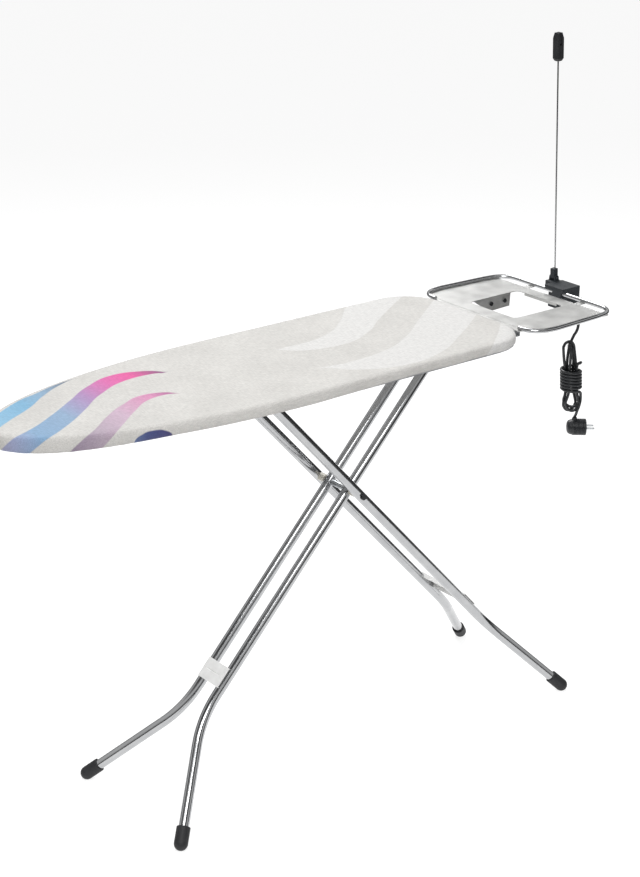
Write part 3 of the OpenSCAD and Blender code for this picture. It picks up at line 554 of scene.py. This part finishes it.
# Section of the cover as (margin, height): the top, the rounded edge, the side and the hem with its tunnel
COVER_PROFILE = [
    (60, 917), (30, 916.95), (20, 916.9), (13, 916.7), (8.5, 916.1), (5, 915), (2.2, 913.2), (0.5, 910.8),
    (-0.4, 907.8), (-0.8, 904.5), (-0.7, 901.2), (0, 898.4), (1.6, 896.2), (3.8, 894.9), (6.5, 894.2),
    (10, 893.9), (14, 894), (17.5, 893.7), (20.5, 893.6), (23.5, 893.9), (24.4, 895.6), (23, 897.4),
    (20.4, 898), (17.6, 897.2), (16.6, 895.4),
]
# The felt's section, closed underneath
PAD_PROFILE = [
    (30, 915.7), (13, 915.5), (9, 914.6), (6.5, 913.2), (4.6, 911.8), (4, 910.8), (5, 910), (30, 909.9),
]
NOSE_REACH = 0.3
CLOTH_T = 0.8 * MM
DRAWCORD_D = 2.4 * MM


def extra_drop(x):
    """How much deeper the cloth's side hangs round the nose than beside the legs, in millimetres."""
    nose = max(0, 1 - (x - NOSE_X) / NOSE_REACH)
    return 3 * min(1, max(0, (0.05 - x) / 0.2)) + 6 * min(1, nose * 1.4)


def gathered(q, row, t):
    """Small folds where the hem's cord draws the cloth in, strongest round the nose and the tail corners."""
    edge = min(1, max(0, (row - 5) / 8))
    if row < 3:
        return q
    nose = max(0, 1 - (q.x - NOSE_X) / NOSE_REACH)
    corner = math.exp(-((q.x - TAIL_X + 0.06) / 0.06) ** 2) + 0.25 * math.exp(-((q.x - TAIL_X) / 0.05) ** 2)
    pull = 0.15 + 0.8 * nose ** 1.5 + 1.1 * corner
    s = t * 2900
    folds = math.sin(s / 5.2 + 2.6 * noise.noise((s / 60, 0.3, 0.7))) * (0.6 + 0.4 * math.sin(s / 17.3))
    soft = noise.noise((s / 90, row / 12, 2.1))
    centre = Vector((min(max(q.x, NOSE_X + 0.45), TAIL_X - 0.12), 0, q.z))
    side = (q - centre).normalized()
    amount = (edge ** 2 * pull * folds * 0.9 + min(1, row / 9) * soft * 0.7) * MM
    out = side * amount
    if row > 12:
        out.z = edge * pull * folds * 0.8 * MM
    out.z -= extra_drop(q.x) * min(1, max(0, 0.9075 - q.z) / 0.011) * MM
    return q + out


cover = piece(
    "cover_cloth", ringed_cloth([(m * MM, z * MM) for m, z in COVER_PROFILE], 1100, gathered),
    cotton, "board", ("cover",), crease=60)
thick = cover.modifiers.new("cloth_thickness", "SOLIDIFY")
thick.thickness = CLOTH_T
thick.offset = -1

# The drawcord lies in the hem's tunnel
cord_line = [Vector((p.x, p.y, (895.9 - extra_drop(p.x)) * MM)) for p in ring_places(20.4 * MM, 500)]
round_line("hem_drawcord", cord_line, DRAWCORD_D, cotton, "board", sides=8, closed=True,
           replaced=("hem_cord",))

pad = piece("felt_layer", ringed_cloth([(m * MM, z * MM) for m, z in PAD_PROFILE], 500, closed=True),
            felt, "board", ("felt_pad",), crease=70)


# ---------- expanded mesh top ----------

MESH_Z = 909.2 * MM
STRAND_W = 1.6 * MM
STRAND_H = 1.1 * MM


def expanded_mesh():
    """Net of edges for the expanded steel mesh: diamonds of 24 by 12 mm, cut to the board's outline."""
    bm = bmesh.new()
    cell_x, cell_y = 24 * MM, 12 * MM
    inset = 13.2 * MM
    loop = ring_places(inset, 400)
    x0, x1 = NOSE_X + inset, TAIL_X - inset
    half = HALF_W - inset

    def reach(x):
        """Half width of the mesh at x."""
        if x < NOSE_X + NOSE_L:
            a = math.acos(max(-1, min(1, 1 - (x - NOSE_X - inset) / (NOSE_L - inset))))
            return half * math.sin(a) ** (2 / 2.1)
        if x > TAIL_X - TAIL_R:
            r = TAIL_R - inset
            return half - r + math.sqrt(max(0, r ** 2 - (x - TAIL_X + TAIL_R) ** 2))
        return half

    made = {}

    def node(i, j):
        x = x0 + i * cell_x / 2
        y = j * cell_y / 2
        if (i, j) not in made and x <= x1 and abs(y) <= reach(x):
            made[(i, j)] = bm.verts.new((x, y, MESH_Z))
        return made.get((i, j))

    for i in range(int((x1 - x0) / cell_x * 2) + 2):
        for j in range(-int(half / cell_y * 2) - 1, int(half / cell_y * 2) + 2):
            if (i + j) % 2:
                continue
            here = node(i, j)
            for step in (1, -1):
                there = node(i + 1, j + step)
                if here and there:
                    bm.edges.new((here, there))
    rim = [bm.verts.new((p.x, p.y, MESH_Z)) for p in loop]
    for a, b in zip(rim, rim[1:] + rim[:1]):
        bm.edges.new((a, b))
    return bm


def strands_from_edges(obj, width, height):
    """Gives each edge of a wire net a flat strand of its own."""
    bm = bmesh.new()
    source = obj.data
    for edge in source.edges:
        a, b = (source.vertices[k].co for k in edge.vertices)
        along = (b - a).normalized()
        side = along.cross(Vector((0, 0, 1))) * width / 2
        up = Vector((0, 0, height / 2))
        along = along * width * 0.3
        corners = [bm.verts.new(p + s * side + u * up) for p in (a - along, b + along) for s, u in
                   ((-1, -1), (1, -1), (1, 1), (-1, 1))]
        for quad in ((3, 2, 1, 0), (4, 5, 6, 7), (0, 1, 5, 4), (1, 2, 6, 5), (2, 3, 7, 6), (3, 0, 4, 7)):
            bm.faces.new([corners[k] for k in quad])
    bmesh.ops.recalc_face_normals(bm, faces=bm.faces)
    bm.to_mesh(obj.data)
    bm.free()


mesh_top = piece("expanded_mesh", expanded_mesh(), zinc, "board", ("mesh_top",))
strands_from_edges(mesh_top, STRAND_W, STRAND_H)

# ---------- CAD nodes that keep their shape ----------

FINISHES = {
    chrome: ["rest_rim", "lead_rod", "inner_tube_left", "inner_tube_right",
             "outer_tube_left", "outer_tube_right"],
    satin_sheet: ["rest_tray"],
    # The straps get the near-white colour that paints in their chrome's reflection of the white surroundings
    strap_painted_reflection: ["inner_brace", "outer_brace"],
    zinc: ["edge_rail", "cross_ribs", "pivot_ear_left", "pivot_ear_right",
           "guide_wire_left", "guide_wire_right", "guide_posts", "height_rack",
           "lever_spring", "lever_rod", "lever_catch", "rest_arm_left", "rest_arm_right",
           "inner_sleeve", "pivot_sleeve", "sliding_bar", "clamp_screws", "clevis_pin", "plug_pins"],
    black_zinc: ["ear_rivets", "pivot_pin", "pivot_nut", "rest_rivets", "rest_bolts",
                 "cross_bolt", "cross_nut"],
    rubber: ["inner_feet", "outer_feet", "inner_plugs", "outer_plugs", "lead_clip"],
    slate: ["lever_saddles", "lever_grip", "socket_housing", "rim_clamp", "rod_knuckle"],
    abs_grey: ["socket_face"],
    nylon: ["bar_rollers", "cross_spacers"],
    brass: ["earth_clips"],
}
for finish, names in FINISHES.items():
    for name in names:
        node = frame["nodes"][name]
        node.data.materials.clear()
        node.data.materials.append(finish)


# ---------- studio ----------

def studio():
    """A pale floor, a broad soft light and a surround with darker strips that give the metal its streaks."""
    material, tree, _ = start_material("studio_floor")
    end_material(tree, Base_Color=colour("A8A8A8"), Roughness=0.9, Specular_IOR_Level=0.0,
                 Emission_Color=(1, 1, 1, 1), Emission_Strength=0.78)
    # A long sweep, turned to the camera; the dark room beside it shows in the tubes
    bm = bmesh.new()
    corners = [bm.verts.new((x, y, 0)) for x, y in ((-1.9, -2.6), (1.9, -2.6), (4.4, 22), (-4.4, 22))]
    bm.faces.new(corners)
    bmesh.ops.rotate(bm, cent=(0, 0, 0), matrix=Matrix.Rotation(math.radians(-39.3), 3, "Z"), verts=bm.verts)
    made = bpy.data.meshes.new("studio_floor")
    bm.to_mesh(made)
    bm.free()
    floor = bpy.data.objects.new("studio_floor", made)
    floor.data.materials.append(material)
    bpy.context.collection.objects.link(floor)

    world = bpy.data.worlds.new("studio_surround")
    bpy.context.scene.world = world
    world.use_nodes = True
    tree = world.node_tree
    tree.nodes.clear()
    way = add(tree, "TexCoord").outputs["Generated"]
    axes = add(tree, "SeparateXYZ", {"Vector": way})
    height = add(tree, "MapRange", {
        "Value": axes.outputs["Z"], "From Min": -0.2, "From Max": 1.0}).outputs["Result"]
    sky = ramp(tree, height, [
        (0.1, "5A5A5A"), (0.17, "2E2E2E"), (0.26, "3A3A3A"), (0.34, "A0A0A0"), (0.44, "D8D8D8"),
        (0.6, "E6E6E6"), (0.7, "4A4A4A"), (0.8, "4A4A4A"), (0.9, "C8C8C8"), (1.0, "E4E4E4")])
    light = add(tree, "Background", {"Color": sky, "Strength": 0.9})
    add(tree, "OutputWorld", {"Surface": light.outputs["Background"]})

    for name, place, aim, size, power in (
            ("key_softbox", (-1.5, -1.9, 3.4), (0, 0, 0.6), 1.8, 80),
            ("back_softbox", (1.2, 2.2, 3.2), (0, 0, 0.6), 1.8, 80)):
        data = bpy.data.lights.new(name, "AREA")
        data.size = size
        data.energy = power
        lamp = bpy.data.objects.new(name, data)
        bpy.context.collection.objects.link(lamp)
        turn = (Vector(aim) - Vector(place)).to_track_quat("-Z", "Y")
        lamp.matrix_world = Matrix.Translation(place) @ turn.to_matrix().to_4x4()


studio()
bpy.context.scene.view_settings.view_transform = "Standard"
